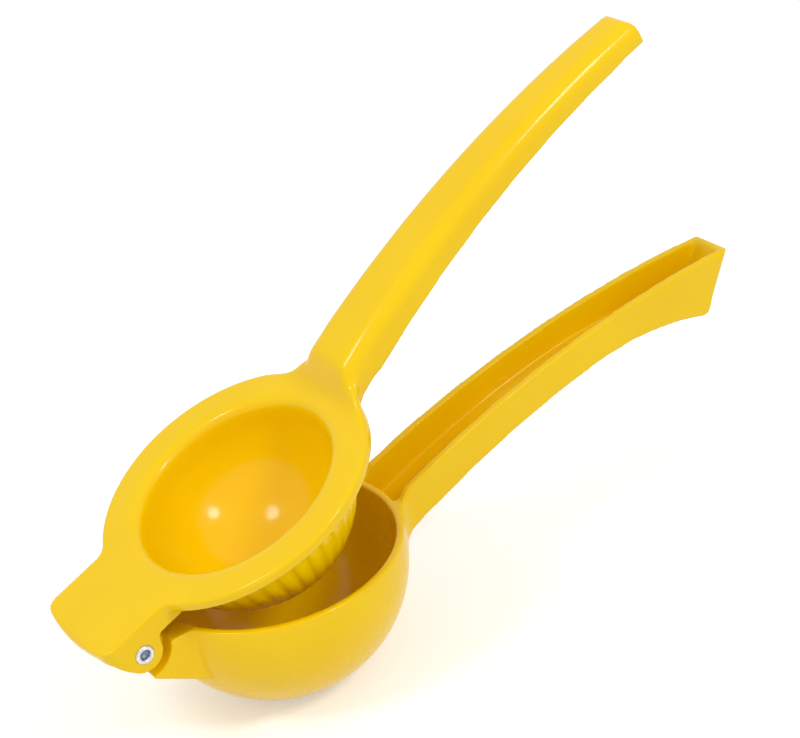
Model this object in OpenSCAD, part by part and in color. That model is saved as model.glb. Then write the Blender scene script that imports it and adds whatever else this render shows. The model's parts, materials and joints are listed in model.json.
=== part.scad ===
// Hinged lemon squeezer: a fluted press cup on an upper lever arm, a deep bowl with
// drain holes on a lower lever arm, and one rivet through the hinge at their ends.
// Millimetres, +Z up. The origin is the centre of the flat foot under the bowl.
// +X runs from the hinge to the handle ends and the hinge pin lies along Y.

/* [Arms] */
// Hinge axis to the centre of the bowl and of the press cup
hinge_reach = 47.2; // [47:0.1:48]
// Height of the hinge axis above the foot of the bowl
hinge_height = 39.5; // [39:0.1:39.8]
// Angle of the press arm above the bowl arm, as it rests
open_angle = 19.7; // [0:0.1:80]
// Hinge axis to the far end of the handles
arm_length = 209.5; // [205:0.5:212]
// Half the width of a handle at its root
handle_half_root = 10.1; // [9.5:0.1:10.5]
// Half the width of a handle at its tip
handle_half_tip = 6.9; // [6.5:0.1:7.5]
// Thickness of the cast walls of the handles
wall = 2.2; // [1.8:0.1:2.6]

/* [Bowl] */
// Outer radius of the bowl
bowl_r = 37.2; // [37:0.1:37.8]
// Thickness of the bowl wall at its rim
bowl_wall = 2.4; // [2:0.1:3]
// Thickness of the bowl floor over its foot
bowl_floor = 2.5; // [2:0.1:3]
// Diameter of a drain hole
drain_d = 2.8; // [2:0.1:3]
// Step between the two rings of drain holes, and radius of the inner ring
drain_ring = 4.2; // [4:0.1:4.3]

/* [Press cup] */
// Radius of the flange of the press cup
disc_r = 39.4; // [39:0.1:39.8]
// Thickness of the flange
disc_t = 3.4; // [3:0.1:4]
// Radius of the fluted dome
dome_r = 31; // [30.5:0.1:31.5]
// Radius of the smooth dish inside the dome
dish_r = 28; // [27.5:0.1:28]
// Radius of the rounded edge between flange and dish
dish_lip = 2.6; // [2:0.1:3]
// Number of flutes round the dome
flutes = 40; // [30:1:44]
// Depth of a flute at the flange
flute_depth = 1.2; // [0.8:0.1:1.4]

/* [Hinge] */
// Half the width of the hinge, over both ears
hinge_half = 16.5; // [15:0.1:17]
// Thickness of an ear
ear_t = 4.5; // [3.5:0.1:5]
// Radius of an ear round the pin
ear_r = 5.4; // [5.2:0.1:5.6]
// Radius of the concave shoulder that faces an ear
shoulder_r = 7.7; // [7.4:0.1:8]
// Radius of the tongue round the pin
tongue_r = 4.9; // [4.7:0.1:5]
// Gap between the tongue and each ear
side_gap = 0.3; // [0.2:0.05:0.4]
// Radius of the shank of the pin
pin_r = 2.1; // [1.9:0.05:2.3]
// Radius of the clinched end of the pin
pin_head_r = 2.7; // [2.6:0.05:3]
// Radius of the hollow in the end of the pin
pin_hollow_r = 1.45; // [1.2:0.05:1.6]
// Radial clearance of the pin in the tongue, where it turns
run_fit = 0.05; // [0.03:0.01:0.08]
// Radial clearance of the pin in the ears, where it is held
held_fit = 0.02; // [0.01:0.01:0.03]

/* [Hidden] */
$fn = 96;
enamel = "#F6C700";
steel = "#C9CBCC";

// Heights below are over the hinge axis.
rim_z = -0.14;
foot_cut = 2.1;
bowl_z = bowl_r - foot_cut - hinge_height;
bowl_in_r = bowl_r - bowl_wall;
bowl_in_z = bowl_floor + bowl_in_r - hinge_height;
disc_z = 8.2;
disc_edge = 0.9;
dome_z = disc_z - 4;
dish_z = disc_z - 3;
lip_z = disc_z - dish_lip;
lip_x = sqrt(pow(dish_r + dish_lip, 2) - pow(lip_z - dish_z, 2));
leaf_t = 3;
leaf_z = disc_z - leaf_t;
ear_y = hinge_half - ear_t;
nose_x = -10.4;
nose_r = 2;
skirt_z = 1.6;
root_x = 90;
channel_x = 97;
block_x = 0.9;
block_z = -8.5;
block_end_x = 30;
block_end_z = -25.8;
tongue_end_x = 20;
tongue_end_z = -19.8;
hollow_depth = 4.5;
taper = atan((handle_half_root - handle_half_tip) / (arm_length - root_x));

// Side curves of the handles, each an arc in the X-Z plane of its arm.
crown_x = 193.7;
crown_z = -310.2;
crown_r = 344.3;
press_edge_x = 198.3;
press_edge_z = -293.1;
press_edge_r = 319.1;
bowl_edge_x = 204.1;
bowl_edge_z = -326.8;
bowl_edge_r = 349.5;
bowl_keel_x = 196.4;
bowl_keel_z = -269.8;
bowl_keel_r = 281.5;
keel_flare_x = 168.9;
keel_flare_z = -80.3;
keel_flare_r = 90;
end_corner_x = 197.7;
end_corner_z = 7.3;
end_corner_r = 2.2;
crown = [[crown_x, crown_z], crown_r];
press_edge = [[press_edge_x, press_edge_z], press_edge_r];
bowl_edge = [[bowl_edge_x, bowl_edge_z], bowl_edge_r];
bowl_keel = [[bowl_keel_x, bowl_keel_z], bowl_keel_r];
keel_flare = [[keel_flare_x, keel_flare_z], keel_flare_r];
end_corner = [[end_corner_x, end_corner_z], end_corner_r];

function polar(c, r, a) = [c[0] + r * cos(a), c[1] + r * sin(a)];
function arc(c, r, a0, a1, n) = [for (i = [0:n]) polar(c, r, a0 + (a1 - a0) * i / n)];

// Turns a profile drawn as [x, z] upright and makes it 2 * half wide along Y.
module upright(half) {
    rotate([90, 0, 0])
        linear_extrude(height = 2 * half, center = true)
            children();
}

module press_cup_body() {
    translate([hinge_reach, 0, 0])
        rotate_extrude()
            intersection() {
                union() {
                    translate([0, disc_z - disc_t])
                        square([disc_r - disc_edge, disc_t]);
                    translate([0, disc_z - disc_t + disc_edge])
                        square([disc_r, disc_t - 2 * disc_edge]);
                    for (z = [disc_z - disc_edge, disc_z - disc_t + disc_edge])
                        translate([disc_r - disc_edge, z])
                            circle(disc_edge);
                    intersection() {
                        translate([0, dome_z])
                            circle(dome_r);
                        translate([0, dome_z - dome_r - 1])
                            square([dome_r + 1, dome_r + 3]);
                    }
                }
                translate([0, -dome_r])
                    square([disc_r + 1, 2 * dome_r]);
            }
}

module dish_cut() {
    translate([hinge_reach, 0, 0])
        rotate_extrude()
            union() {
                intersection() {
                    translate([0, dish_z])
                        circle(dish_r);
                    translate([0, dish_z - dish_r - 1])
                        square([dish_r + 1, dish_r + 1]);
                }
                difference() {
                    polygon([[0, dish_z], [lip_x, dish_z], [lip_x, lip_z], [lip_x, disc_z + 1], [0, disc_z + 1]]);
                    translate([lip_x, lip_z])
                        circle(dish_lip);
                }
            }
}

// One groove between two ribs of the dome. Its ring is set lower than the dome, so it
// is deepest at the flange and runs out before the pole.
module flute() {
    tube = flute_depth + 0.1;
    sink = 1.3;
    translate([hinge_reach, 0, dome_z - sink])
        rotate([90, 0, 0])
            rotate_extrude(angle = -52)
                translate([dome_r - flute_depth + tube, 0])
                    circle(tube, $fn = 24);
}

module flute_cuts() {
    for (i = [0:flutes - 1])
        translate([hinge_reach, 0, 0])
            rotate([0, 0, 360 * (i + 0.5) / flutes])
                translate([-hinge_reach, 0, 0])
                    flute();
}

// Leaf from the cup to the nose, with the two ears under its sides.
function leaf_top() = concat([[disc_x(), disc_z]], arc([nose_x + nose_r, disc_z - nose_r], nose_r, 90, 180, 8));
function disc_x() = hinge_reach - disc_r + 8;

module leaf_side() {
    polygon(concat(leaf_top(), [
        [nose_x, leaf_z + 0.6], [nose_x + 0.8, leaf_z], [disc_x(), leaf_z]]));
}

module ear_side() {
    circle(ear_r);
    polygon(concat(leaf_top(), [
        [nose_x, leaf_z + 0.6], [nose_x + 0.8, leaf_z], [-7.9, 3.4], [-6.6, 0.4],
        [-4.4, -3.1], [4.8, -2.4], [5.4, -0.4], [6.6, skirt_z],
        [14, skirt_z], [16.5, leaf_z - 0.2], [disc_x(), leaf_z - 0.2]]));
}

// Concave fillet in plan between a round body of radius r and a straight side at
// distance half from the middle line; x counts from the middle of the round body.
function fillet_side(r, half, fillet) =
    let (reach = sqrt(pow(r + fillet - 0.05, 2) - pow(half + fillet, 2)))
    arc([reach, half + fillet], fillet, -90, atan((half + fillet) / reach) - 180, 10);

// Both sides of such a root as an outline, mirrored where way is -1. It follows the edge
// of the round body for another spread degrees on each side.
module root_plan(r, half, fillet, way, spread) {
    side = fillet_side(r, half, fillet);
    end = side[len(side) - 1];
    turn = atan(end[1] / end[0]);
    rim = spread > 0 ? arc([0, 0], r - 0.3, turn + spread / 4, turn + spread, 4) : [];
    outline = concat(side, rim);
    polygon(concat(
        [for (p = outline) [hinge_reach + way * p[0], p[1]]],
        [[hinge_reach + way * r * 0.7, 0]],
        [for (i = [len(outline) - 1:-1:0]) [hinge_reach + way * outline[i][0], -outline[i][1]]]));
}

// The leaf is straight at its sides, and its end is an arc round the middle of the cup.
module leaf_plan() {
    corner = 3.5;
    tip = hinge_reach - nose_x;
    turn = asin((hinge_half - corner) / (tip - corner));
    middle = [hinge_reach, 0];
    polygon(concat(
        [[disc_x(), -hinge_half]],
        [[disc_x(), hinge_half]],
        arc(polar(middle, tip - corner, 180 - turn), corner, 90, 180 - turn, 6),
        arc(middle, tip, 180 - 0.85 * turn, 180 + 0.85 * turn, 8),
        arc(polar(middle, tip - corner, 180 + turn), corner, 180 + turn, 270, 6)));
}

module leaf() {
    intersection() {
        union() {
            upright(hinge_half + 1)
                leaf_side();
            for (side = [-1, 1])
                translate([0, side * (hinge_half - ear_t / 2 + 0.5), 0])
                    upright(ear_t / 2 + 0.5)
                        ear_side();
        }
        translate([0, 0, -10])
            linear_extrude(height = 30)
                leaf_plan();
    }
    translate([0, 0, disc_z - disc_t])
        linear_extrude(height = disc_t)
            root_plan(disc_r, hinge_half, 4, -1, 0);
}

// Half of a handle, swept along an arc and then straight on. Its outer side leans in
// by the taper, and its upper outer edge is rounded by the radius shoulder.
module half_section(depth, half, shoulder) {
    translate([-depth, -4])
        square([depth, half - shoulder + 4]);
    translate([-depth, -4])
        square([depth - shoulder, half + 4]);
    translate([-shoulder, half - shoulder])
        circle(shoulder, $fn = 32);
}

module half_sweep(inset, half, shoulder, x0, x1) {
    r = crown[1] - inset;
    a0 = acos((x0 - crown[0][0]) / r);
    a1 = acos((x1 - crown[0][0]) / r);
    intersection() {
        translate([root_x, 0, 0])
            rotate([0, 0, -taper])
                translate([crown[0][0] - root_x, 0, crown[0][1]])
                    rotate([90, -a1, 0])
                        rotate_extrude(angle = a0 - a1, $fn = 720)
                            translate([r, 0])
                                mirror([0, 1])
                                    half_section(24, half, shoulder);
        translate([0, 0, -50])
            cube([300, 50, 150]);
    }
}

module both_halves() {
    children();
    mirror([0, 1, 0])
        children();
}

function edge_z(c, x) = c[0][1] + sqrt(pow(c[1], 2) - pow(x - c[0][0], 2));
function edge(c, x0, x1, n) = [for (i = [0:n]) let (x = x0 + (x1 - x0) * i / n) [x, edge_z(c, x)]];

// Ramp out of the flat of the flange, hollow and then steep, in side view.
function ramp() = arc([78, disc_z + 6], 6, -90, -25, 7);

// Side view of the press handle: up the ramp, and over a soft brow into the crown.
module press_side() {
    polygon(concat(
        [[78, disc_z - disc_t]],
        ramp(),
        arc([90.8, 12.1], 6, 155, 118, 5),
        [[94, 20.4], [96, 40], [arm_length - 2, 40], [arm_length - 2, 33.4]],
        arc([arm_length - 3, 30.8], 3, 50, 0, 4),
        edge(press_edge, arm_length, 83, 24)));
}

function half_at(x) = handle_half_root - (x - root_x) * tan(taper);

// Web that spreads the press handle into the flange on each side: a fillet in all three
// views, under the ramp that the handle climbs.
module press_web() {
    fillet = 12;
    intersection() {
        upright(30)
            polygon(concat(
                [[76, disc_z - disc_t], [76, disc_z]],
                ramp(),
                [[92, 14.6], [92, 12.8], [87, 10.6], [83, 7], [81, disc_z - disc_t]]));
        linear_extrude(height = 30)
            root_plan(disc_r, half_at(root_x), 10, 1, 14);
        translate([70, 0, disc_z - disc_t])
            rotate([90, 0, 90])
                linear_extrude(height = 30)
                    polygon(concat(
                        [[-30, 0], [30, 0], [30, disc_t]],
                        arc([handle_half_root + fillet, disc_t + fillet], fillet, -90, -180, 8),
                        arc([-handle_half_root - fillet, disc_t + fillet], fillet, 0, -90, 8),
                        [[-30, disc_t]]));
    }
}

module press_handle() {
    shoulder = 4.5;
    difference() {
        intersection() {
            upright(30)
                press_side();
            union() {
                both_halves()
                    half_sweep(0, handle_half_root, shoulder, 80, arm_length + 5);
                press_web();
            }
        }
        both_halves()
            half_sweep(wall, handle_half_root - wall, shoulder - wall, channel_x, arm_length - 2 * wall);
    }
}

module pin_bore(r) {
    rotate([90, 0, 0])
        cylinder(r = r, h = 4 * hinge_half, center = true);
}

module press_arm() {
    color(enamel)
        translate([-hinge_reach, 0, hinge_height])
            rotate([0, -open_angle, 0])
                difference() {
                    union() {
                        press_cup_body();
                        leaf();
                        press_handle();
                    }
                    dish_cut();
                    flute_cuts();
                    pin_bore(pin_r + held_fit);
                }
}

// Side view of the bowl handle, from the rim of the bowl to its slanted closed end.
module bowl_side() {
    polygon(concat(
        [[80, rim_z]],
        arc([83.4, rim_z + 2.2], 2.2, -90, -20, 5),
        edge(bowl_edge, 87, arm_length - 0.6, 26),
        arc(end_corner[0], end_corner[1], -30, -108, 6),
        edge(keel_flare, 196.6, 156, 10),
        edge(bowl_keel, 154, 80, 16)));
}

module channel_side() {
    floor_keel = [bowl_keel[0], bowl_keel[1] + wall];
    floor_flare = [keel_flare[0], keel_flare[1] + wall];
    polygon(concat(
        [[82, 30]],
        edge(floor_keel, 82, 154, 16),
        edge(floor_flare, 156, end_corner[0][0], 10),
        [[end_corner[0][0] + 13, end_corner[0][1] + 22.5]]));
}

module handle_plan(inset, x0, x1) {
    polygon([
        [x0, half_at(x0) - inset],
        [x1, half_at(x1) - inset],
        [x1, inset - half_at(x1)],
        [x0, inset - half_at(x0)]]);
}

module bowl_handle() {
    difference() {
        intersection() {
            upright(30)
                bowl_side();
            union() {
                translate([0, 0, -30])
                    linear_extrude(height = 80)
                        handle_plan(0, 78, 220);
                translate([0, 0, -20])
                    linear_extrude(height = 20 + rim_z)
                        root_plan(bowl_r, half_at(root_x), 8, 1, 0);
            }
        }
        intersection() {
            upright(30)
                channel_side();
            translate([0, 0, -30])
                linear_extrude(height = 80)
                    handle_plan(wall, 78, 220);
        }
    }
}

module bowl_body() {
    bevel = 0.6;
    drop = 24;
    translate([hinge_reach, 0, 0])
        rotate_extrude()
            intersection() {
                translate([0, bowl_z])
                    circle(bowl_r);
                polygon([
                    [0, -hinge_height], [bowl_r + drop - bevel, -hinge_height],
                    [bowl_r + drop - bevel, rim_z - drop], [bowl_r - bevel, rim_z], [0, rim_z]]);
            }
}

module bowl_hollow() {
    bevel = 0.5;
    translate([hinge_reach, 0, 0])
        rotate_extrude()
            union() {
                intersection() {
                    translate([0, bowl_in_z])
                        circle(bowl_in_r);
                    translate([0, -hinge_height])
                        square([bowl_r, hinge_height + 1]);
                }
                polygon([
                    [0, rim_z - 2], [bowl_in_r + bevel - 2, rim_z - 2],
                    [bowl_in_r + bevel + 1, rim_z + 1], [0, rim_z + 1]]);
            }
}

module drain_holes() {
    translate([hinge_reach, 0, -hinge_height - 1])
        for (ring = [1, 2])
            for (i = [0:6 * ring - 1])
                rotate([0, 0, i * 60 / ring])
                    translate([ring * drain_ring, 0, 0])
                        cylinder(d = drain_d, h = bowl_floor + 4, $fn = 24);
}

// Hinge block behind the ears, with the tongue that fills the gap between them.
module block_side() {
    difference() {
        polygon([
            [block_x, rim_z], [block_end_x, rim_z],
            [block_end_x, block_end_z], [block_x, block_z]]);
        circle(shoulder_r);
    }
}

module tongue_side() {
    circle(tongue_r);
    polygon([
        [block_x, rim_z], [tongue_end_x, rim_z],
        [tongue_end_x, tongue_end_z], [block_x, block_z], [0.4, -4]]);
}

module bowl_arm() {
    color(enamel)
        translate([-hinge_reach, 0, hinge_height])
            difference() {
                union() {
                    bowl_body();
                    upright(hinge_half)
                        block_side();
                    upright(ear_y - side_gap)
                        tongue_side();
                    bowl_handle();
                }
                bowl_hollow();
                drain_holes();
                pin_bore(pin_r + run_fit);
            }
}

// Rivet: a domed head on the far side, a hollow clinched end on the near side.
module hinge_pin() {
    clinch = 0.5;
    head = 0.9;
    color(steel)
        translate([-hinge_reach, 0, hinge_height])
            rotate([0, -open_angle, 0])
                difference() {
                    union() {
                        rotate([90, 0, 0])
                            cylinder(r = pin_r, h = 2 * hinge_half, center = true);
                        translate([0, -hinge_half, 0])
                            rotate([90, 0, 0])
                                cylinder(r1 = pin_head_r, r2 = pin_head_r - 0.3, h = clinch);
                        translate([0, hinge_half + head, 0])
                            rotate([90, 0, 0])
                                cylinder(r1 = pin_head_r - 0.9, r2 = pin_head_r + 0.4, h = head);
                    }
                    translate([0, -hinge_half - clinch - 1, 0])
                        rotate([-90, 0, 0])
                            cylinder(r = pin_hollow_r, h = hollow_depth + clinch + 1);
                }
}

press_arm();
bowl_arm();
hinge_pin();
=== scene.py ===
# Hinged lemon squeezer: two cast aluminium levers in glossy yellow enamel and one plated
# rivet. Blender draws the looks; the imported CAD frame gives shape, place and motion.
import json
import math
import bpy
import bmesh
from mathutils import Matrix, Vector


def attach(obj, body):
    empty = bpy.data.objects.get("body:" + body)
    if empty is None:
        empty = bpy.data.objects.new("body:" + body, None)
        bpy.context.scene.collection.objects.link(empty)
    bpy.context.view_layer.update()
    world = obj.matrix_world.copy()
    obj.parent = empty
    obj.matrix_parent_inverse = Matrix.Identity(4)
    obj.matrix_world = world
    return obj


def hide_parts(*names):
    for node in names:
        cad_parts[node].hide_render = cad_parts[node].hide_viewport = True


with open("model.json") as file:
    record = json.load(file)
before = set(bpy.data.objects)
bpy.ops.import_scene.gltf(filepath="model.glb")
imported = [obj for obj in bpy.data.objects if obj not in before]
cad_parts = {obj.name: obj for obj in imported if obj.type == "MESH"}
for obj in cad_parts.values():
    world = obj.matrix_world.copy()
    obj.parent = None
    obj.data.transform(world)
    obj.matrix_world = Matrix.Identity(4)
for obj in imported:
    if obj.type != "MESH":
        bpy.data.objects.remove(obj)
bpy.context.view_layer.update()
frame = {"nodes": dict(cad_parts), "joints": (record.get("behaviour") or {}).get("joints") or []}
MM = 0.001

# ---------------------------------------------------------------- places on the squeezer
ARM_HINGE = frame["joints"][0]
HINGE = Vector(ARM_HINGE["pos_m"])
# from the hinge to the axis that bowl and dome share, in millimetres along an arm
CUP_REACH = -ARM_HINGE["pos_m"][0] / MM
# how far the press arm stands open at rest
OPEN_ANGLE = math.radians(19.7)
# middle of the ball that the dish is cut from, where the lamps are aimed
DISH = Vector((-0.0045, 0.0, 0.0603))


# ---------------------------------------------------------------- colours, nodes, objects
def linear(hex_colour):
    """An sRGB hex value as the linear colour that Blender's sockets take."""
    out = []
    for i in (1, 3, 5):
        c = int(hex_colour[i:i + 2], 16) / 255
        out.append(c / 12.92 if c <= 0.04045 else ((c + 0.055) / 1.055) ** 2.4)
    return (*out, 1.0)


WHITE = linear("#FFFFFF")


def add(tree, kind, inputs=None, **settings):
    """Adds a node with its settings. Each input, by its name or number, is linked where it
    is given another node's output, and otherwise takes the plain value."""
    node = tree.nodes.new(kind)
    for key, value in settings.items():
        setattr(node, key, value)
    for key, value in (inputs or {}).items():
        if isinstance(value, bpy.types.NodeSocket):
            tree.links.new(value, node.inputs[key])
        else:
            node.inputs[key].default_value = value
    return node


def new_material(name):
    """An empty material and its tree of nodes."""
    mat = bpy.data.materials.new(name)
    mat.use_nodes = True
    mat.node_tree.nodes.clear()
    return mat, mat.node_tree


def set_tones(tone, dark, light, dark_until, light_from):
    """Makes a colour ramp run from dark to light between two places of its 0 to 1."""
    first, last = tone.color_ramp.elements
    first.position, last.position = dark_until, light_from
    first.color, last.color = linear(dark), linear(light)


def seen_by_the_eye(tree):
    """1 for what the camera sees, straight or in a reflection, and 0 for the light that
    falls on the squeezer."""
    rays = add(tree, "ShaderNodeLightPath")
    seen = add(tree, "ShaderNodeMath",
               {0: rays.outputs["Is Camera Ray"], 1: rays.outputs["Is Glossy Ray"]},
               operation="MAXIMUM")
    return seen.outputs[0]


def new_object(name, data):
    """A new object of the scene for a mesh, a lamp or a camera."""
    obj = bpy.data.objects.new(name, data)
    bpy.context.scene.collection.objects.link(obj)
    return obj


# ---------------------------------------------------------------- materials
def gloss_enamel_on_cast_aluminium():
    """Baked gloss enamel over a shot-blasted casting: one deep warm yellow under a clear
    skin, with the skin's faint orange peel and the slow swell of the cast metal below, so
    that highlights are bright but never quite straight."""
    # the swell wavers a highlight along a handle, the peel is that of the sprayed skin, and
    # the film is a touch deeper in colour where the coat is thicker
    swell_width, peel_width, film_width = 14 * MM, 2.2 * MM, 25 * MM
    swell_depth, peel_depth = 0.2 * MM, 0.01 * MM
    mat, tree = new_material("gloss_enamel_on_cast_aluminium")
    where = add(tree, "ShaderNodeTexCoord").outputs["Object"]
    swell = add(tree, "ShaderNodeTexNoise",
                {"Vector": where, "Scale": 1 / swell_width, "Detail": 1.0})
    peel = add(tree, "ShaderNodeTexNoise",
               {"Vector": where, "Scale": 1 / peel_width, "Detail": 0.0})
    film = add(tree, "ShaderNodeTexNoise",
               {"Vector": where, "Scale": 1 / film_width, "Detail": 2.0})
    tone = add(tree, "ShaderNodeValToRGB", {"Fac": film.outputs["Fac"]})
    set_tones(tone, "#F6CA00", "#F9CF00", dark_until=0.3, light_from=0.7)
    gloss = add(tree, "ShaderNodeMapRange",
                {"Value": peel.outputs["Fac"], "To Min": 0.24, "To Max": 0.32})
    swollen = add(tree, "ShaderNodeBump",
                  {"Height": swell.outputs["Fac"], "Strength": 0.25, "Distance": swell_depth})
    peeled = add(tree, "ShaderNodeBump",
                 {"Height": peel.outputs["Fac"], "Normal": swollen.outputs["Normal"],
                  "Strength": 0.03, "Distance": peel_depth})
    skin = add(tree, "ShaderNodeBsdfPrincipled",
               {"Base Color": tone.outputs["Color"], "Roughness": gloss.outputs["Result"],
                "Normal": peeled.outputs["Normal"], "IOR": 1.5, "Specular IOR Level": 0.05,
                "Coat Weight": 0.4, "Coat Roughness": 0.14, "Coat IOR": 1.5})
    add(tree, "ShaderNodeOutputMaterial", {"Surface": skin.outputs[0]})
    return mat


def zinc_plated_steel(name, dark, light, roughest, dent):
    """Mild steel with bright zinc plate: a soft cool grey, mottled where the plate took
    unevenly and finely dented where a tool has struck it, so its shine is broken up."""
    mottle_width, dent_depth = 0.8 * MM, 0.08 * MM
    smoothest = roughest - 0.16
    mat, tree = new_material(name)
    where = add(tree, "ShaderNodeTexCoord").outputs["Object"]
    mottle = add(tree, "ShaderNodeTexNoise",
                 {"Vector": where, "Scale": 1 / mottle_width, "Detail": 3.0})
    rough = add(tree, "ShaderNodeMapRange",
                {"Value": mottle.outputs["Fac"], "To Min": smoothest, "To Max": roughest})
    tone = add(tree, "ShaderNodeValToRGB", {"Fac": mottle.outputs["Fac"]})
    set_tones(tone, dark, light, dark_until=0.35, light_from=0.65)
    dents = add(tree, "ShaderNodeBump",
                {"Height": mottle.outputs["Fac"], "Strength": dent, "Distance": dent_depth})
    metal = add(tree, "ShaderNodeBsdfPrincipled",
                {"Base Color": tone.outputs["Color"], "Roughness": rough.outputs["Result"],
                 "Normal": dents.outputs["Normal"], "Metallic": 1.0})
    add(tree, "ShaderNodeOutputMaterial", {"Surface": metal.outputs[0]})
    return mat


def matt_studio_paper():
    """Matt white studio paper, lit until it is plain white in the picture and in
    reflections; only the soft shadow under the squeezer stays grey."""
    tooth_width, tooth_depth = 0.6 * MM, 0.05 * MM
    # glow that the eye alone sees, enough to bring the lit paper to white
    lift_strength = 0.36
    mat, tree = new_material("matt_studio_paper")
    where = add(tree, "ShaderNodeTexCoord").outputs["Object"]
    tooth = add(tree, "ShaderNodeTexNoise", {"Vector": where, "Scale": 1 / tooth_width})
    bump = add(tree, "ShaderNodeBump",
               {"Height": tooth.outputs["Fac"], "Strength": 0.1, "Distance": tooth_depth})
    paper = add(tree, "ShaderNodeBsdfPrincipled",
                {"Base Color": linear("#EDEDED"), "Normal": bump.outputs["Normal"],
                 "Roughness": 0.9, "Specular IOR Level": 0.1})
    lift = add(tree, "ShaderNodeMath", {0: seen_by_the_eye(tree), 1: lift_strength},
               operation="MULTIPLY")
    glow = add(tree, "ShaderNodeEmission", {"Color": WHITE, "Strength": lift.outputs[0]})
    both = add(tree, "ShaderNodeAddShader", {0: paper.outputs[0], 1: glow.outputs[0]})
    add(tree, "ShaderNodeOutputMaterial", {"Surface": both.outputs[0]})
    return mat


ENAMEL = gloss_enamel_on_cast_aluminium()
STEEL = zinc_plated_steel("turned_zinc_plated_steel", "#C4C6C8", "#E2E3E4",
                          roughest=0.40, dent=0.15)
# The rivet's punched cup: rougher, more dented steel, and its darker blue-grey colour is painted
# shade of the hollow.
PUNCHED_STEEL_PAINTED_SHADE = zinc_plated_steel("punched_zinc_steel_painted_shade", "#6F7A90", "#A7AFBE",
                                  roughest=0.55, dent=0.6)
PAPER = matt_studio_paper()

# ---------------------------------------------------------------- where a casting is rounder
# Rules that say, from 0 to 1, how far a place is rounded beyond the small round of every
# edge. A place is in millimetres from the hinge: x along the arm, y across it, z over it.
# In each pair below, the weight is 0 at the first value and 1 at the second.
# The lip of the press, out from the axis of the dome: its dish side and its flange side.
LIP_INSIDE = (25.5, 28.0)
LIP_OUTSIDE = (35.5, 32.5)
# Heights of the dish's side and of the flange's top. Further out than DISH_END, a place
# lower than the flange may be in a flute, which stays sharp.
DISH_HEIGHT = (0.5, 1.3)
FLANGE_HEIGHT = (6.2, 7.0)
DISH_END = 29.2
PRESS_ROOT_START = (77.5, 81.0)
PRESS_ROOT_END = (95.5, 91.0)
PRESS_ROOT_HEIGHT = (5.4, 6.4)
HANDLE_TIP = (196.0, 203.0)
# The root of the bowl's handle, which starts outside the bowl.
BOWL_OUTSIDE = (37.4, 38.6)
BOWL_ROOT_START = (60.0, 70.0)
BOWL_ROOT_END = (96.0, 90.0)


def along_arm(point, open_angle):
    """A point in millimetres from the hinge: along the arm, across it, and over it."""
    x, y, z = ((point[i] - HINGE[i]) / MM for i in range(3))
    c, s = math.cos(open_angle), math.sin(open_angle)
    return x * c + z * s, y, z * c - x * s


def ramp(value, none, full):
    """0 up to none, 1 from full, and even between; it falls where full is the lower."""
    return min(1.0, max(0.0, (value - none) / (full - none)))


def press_lip(x, y, z):
    """The broad round between flange and dish, on the upper side alone."""
    r = math.hypot(x - CUP_REACH, y)
    height = DISH_HEIGHT if r < DISH_END else FLANGE_HEIGHT
    return ramp(r, *LIP_INSIDE) * ramp(r, *LIP_OUTSIDE) * ramp(z, *height)


def press_root(x, y, z):
    """The flare from the flange into the press handle, short of the hollow below it."""
    return ramp(x, *PRESS_ROOT_START) * ramp(x, *PRESS_ROOT_END) * ramp(z, *PRESS_ROOT_HEIGHT)


def handle_tip(x, y, z):
    """The end of a handle."""
    return ramp(x, *HANDLE_TIP)


def bowl_root(x, y, z):
    """The flare from the rim of the bowl into the two walls of its handle."""
    r = math.hypot(x - CUP_REACH, y)
    return ramp(r, *BOWL_OUTSIDE) * ramp(x, *BOWL_ROOT_END) * ramp(x, *BOWL_ROOT_START)


# ---------------------------------------------------------------- pieces
# Points of a mesh that are closer than this are one.
SAME_POINT = 0.0005 * MM
# Cell of a casting's skin, fine enough for the flutes and the drain holes.
SKIN_CELL = 0.42 * MM
# Smoothing passes that give each edge of a casting its small round.
EDGE_PASSES = 6
MOST_TRIANGLES = 190000


def welded_copy(node, name):
    """A copy of a CAD node's mesh with its loose triangles joined, as a new object."""
    mesh = frame["nodes"][node].data.copy()
    mesh.name = name
    bm = bmesh.new()
    bm.from_mesh(mesh)
    bmesh.ops.remove_doubles(bm, verts=bm.verts, dist=SAME_POINT)
    bm.to_mesh(mesh)
    bm.free()
    return new_object(name, mesh)


def apply_modifiers(piece):
    """Makes a piece and its modifiers one plain mesh."""
    graph = bpy.context.evaluated_depsgraph_get()
    mesh = bpy.data.meshes.new_from_object(piece.evaluated_get(graph))
    piece.modifiers.clear()
    piece.data = mesh


def smooth(piece, passes, group=""):
    """Rounds a piece, or as much of it as a vertex group says, over so many passes."""
    ease = piece.modifiers.new("ease", "SMOOTH")
    ease.factor = 0.5
    ease.iterations = passes
    ease.vertex_group = group
    apply_modifiers(piece)


def smooth_where(rule, piece, open_angle, passes):
    """Rounds a piece further where a rule gives weight, in steps of a tenth."""
    steps = 10
    rings = {}
    for vertex in piece.data.vertices:
        step = round(steps * rule(*along_arm(vertex.co, open_angle)))
        if step:
            rings.setdefault(step, []).append(vertex.index)
    group = piece.vertex_groups.new(name="eased")
    for step, indices in rings.items():
        group.add(indices, step / steps, "REPLACE")
    smooth(piece, passes, group.name)
    piece.vertex_groups.clear()


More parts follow.
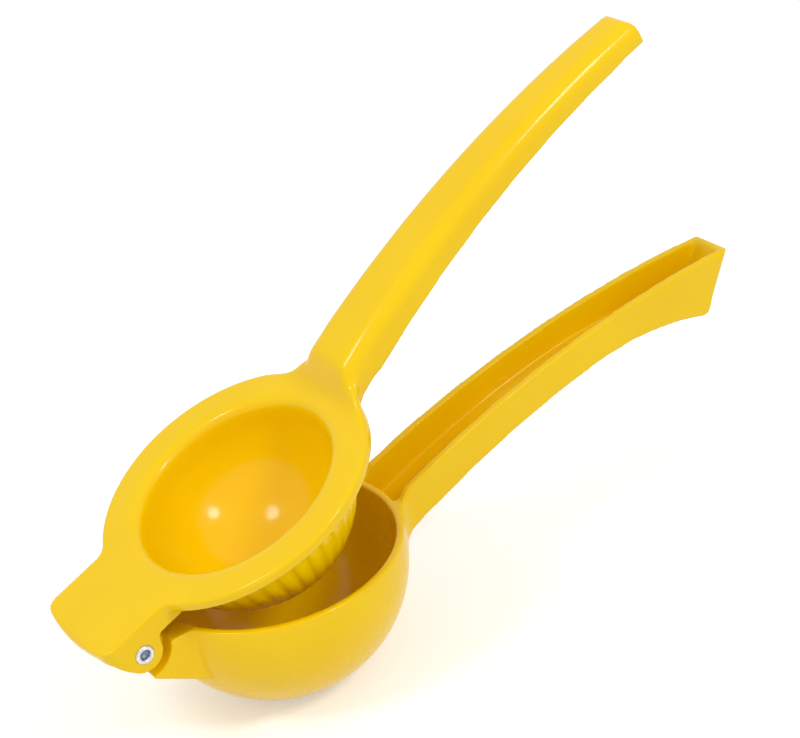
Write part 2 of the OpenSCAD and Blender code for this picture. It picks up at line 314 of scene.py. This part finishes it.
def softened_casting(node, name, body, open_angle, rounds):
    """A die-cast and enamelled arm: the CAD solid in a skin of fine cells, eased over a
    few passes so that every edge and inner corner gets the small round that metal cast in
    a mould and a coat of enamel leave, and rounded further where the rules of rounds say."""
    piece = welded_copy(node, name)
    skin = piece.modifiers.new("skin", "REMESH")
    skin.mode = "VOXEL"
    skin.voxel_size = SKIN_CELL
    smooth(piece, EDGE_PASSES)
    for rule, passes in rounds:
        smooth_where(rule, piece, open_angle, passes)
    triangles = sum(len(polygon.vertices) - 2 for polygon in piece.data.polygons)
    thin = piece.modifiers.new("thin", "DECIMATE")
    thin.ratio = min(1.0, MOST_TRIANGLES / triangles)
    apply_modifiers(piece)
    for polygon in piece.data.polygons:
        polygon.use_smooth = True
    piece.data.materials.clear()
    piece.data.materials.append(ENAMEL)
    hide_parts(node)
    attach(piece, body)


def clinched_rivet(node, name, body):
    """The rivet as a turned shank: a low domed head on the far side, and on the near side
    a rolled rim round the shallow cup that the clinching punch leaves."""
    # its outline, in millimetres out from the axis and towards the near side
    shank, ear_face, turning_steps = 2.1, 16.5, 72
    punched_floor = [(0.0, 15.3), (0.7, 15.35), (1.2, 15.6)]
    rolled_rim = [(1.38, 16.3), (1.5, 16.75), (1.66, 16.92), (1.85, 16.98), (2.15, 16.96),
                  (2.42, 16.84), (2.6, 16.66), (2.68, ear_face)]
    side = [(shank, ear_face), (shank, -ear_face)]
    far_head = [(3.04, -ear_face), (2.98, -16.68), (2.75, -16.92), (2.3, -17.14),
                (1.6, -17.3), (0.8, -17.38), (0.0, -17.4)]
    # the punch has left rougher, more dented steel on the near side out to here, and the cup
    # there is painted a darker blue-grey as painted shade
    punched_shade_radius = 1.42
    bm = bmesh.new()
    line = [bm.verts.new((out * MM, 0.0, -near * MM))
            for out, near in punched_floor + rolled_rim + side + far_head]
    edges = [bm.edges.new(pair) for pair in zip(line, line[1:])]
    bmesh.ops.spin(bm, geom=line + edges, cent=(0, 0, 0), axis=(0, 0, 1), angle=math.tau,
                   steps=turning_steps, use_merge=True)
    bmesh.ops.remove_doubles(bm, verts=bm.verts, dist=SAME_POINT)
    bmesh.ops.recalc_face_normals(bm, faces=bm.faces)
    bm.transform(Matrix.Translation(HINGE) @ Matrix.Rotation(math.radians(-90), 4, "X"))
    mesh = bpy.data.meshes.new(name)
    bm.to_mesh(mesh)
    bm.free()
    mesh.materials.append(STEEL)
    mesh.materials.append(PUNCHED_STEEL_PAINTED_SHADE)
    for polygon in mesh.polygons:
        polygon.use_smooth = True
        place = (polygon.center - HINGE) / MM
        # the floor of the punched cup takes the darker steel, whose colour is painted shade
        if place.y < 0 and math.hypot(place.x, place.z) < punched_shade_radius:
            polygon.material_index = 1
    piece = new_object(name, mesh)
    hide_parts(node)
    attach(piece, body)


softened_casting("press_arm", "cast_press_arm", "upper_arm", OPEN_ANGLE,
                 [(press_lip, 120), (press_root, 100), (handle_tip, 24)])
softened_casting("bowl_arm", "cast_bowl_arm", "lower_arm", 0.0,
                 [(bowl_root, 24), (handle_tip, 24)])
clinched_rivet("hinge_pin", "clinched_rivet", "upper_arm")


# ---------------------------------------------------------------- floor, light, camera
def studio_floor():
    """A flat sheet of white paper that reaches three metres out each way."""
    mesh = bpy.data.meshes.new("studio_floor")
    bm = bmesh.new()
    bmesh.ops.create_grid(bm, x_segments=1, y_segments=1, size=3.0)
    bm.to_mesh(mesh)
    bm.free()
    mesh.materials.append(PAPER)
    floor = new_object("studio_floor", mesh)


def round_lamp(name, place, width, watts):
    """A round soft lamp that shines on the dish."""
    light = bpy.data.lights.new(name, "AREA")
    light.shape = "DISK"
    light.size = width
    light.energy = watts
    obj = new_object(name, light)
    obj.location = place
    obj.rotation_euler = (DISH - Vector(place)).to_track_quat("-Z", "Y").to_euler()


def pale_world():
    """Soft even light from all round, that is plain white to the eye."""
    light_strength, seen_strength = 0.66, 1.0
    world = bpy.data.worlds.new("pale_studio")
    bpy.context.scene.world = world
    world.use_nodes = True
    tree = world.node_tree
    tree.nodes.clear()
    lit = add(tree, "ShaderNodeBackground", {"Color": WHITE, "Strength": light_strength})
    white = add(tree, "ShaderNodeBackground", {"Color": WHITE, "Strength": seen_strength})
    mix = add(tree, "ShaderNodeMixShader",
              {0: seen_by_the_eye(tree), 1: lit.outputs[0], 2: white.outputs[0]})
    add(tree, "ShaderNodeOutputWorld", {"Surface": mix.outputs[0]})


def photo_camera():
    """The photograph's own view, from a fit of the flange, the rim and the handles."""
    place = (-0.1998, -0.4522, 0.3644)
    # turned from +Y, raised from straight down, and rolled; negative is to the right
    turn, tilt, roll = math.radians(-28.965), math.radians(60.44), math.radians(-11.442)
    cam = bpy.data.cameras.new("photo_camera")
    cam.lens = 99.0
    cam.sensor_width = 36.0
    cam.clip_start = 0.01
    obj = new_object("photo_camera", cam)
    obj.matrix_world = (Matrix.Translation(place) @ Matrix.Rotation(turn, 4, "Z")
                        @ Matrix.Rotation(tilt, 4, "X") @ Matrix.Rotation(roll, 4, "Z"))
    bpy.context.scene.camera = obj


studio_floor()
pale_world()
# The lamps stand where the two highlights in the dish ask for them.
round_lamp("left_lamp", (-0.5845, -0.061, 0.872), width=0.24, watts=2.3)
round_lamp("front_lamp", (0.2665, -0.693, 0.728), width=0.22, watts=2.4)
photo_camera()

scene = bpy.context.scene
scene.view_settings.view_transform = "Standard"
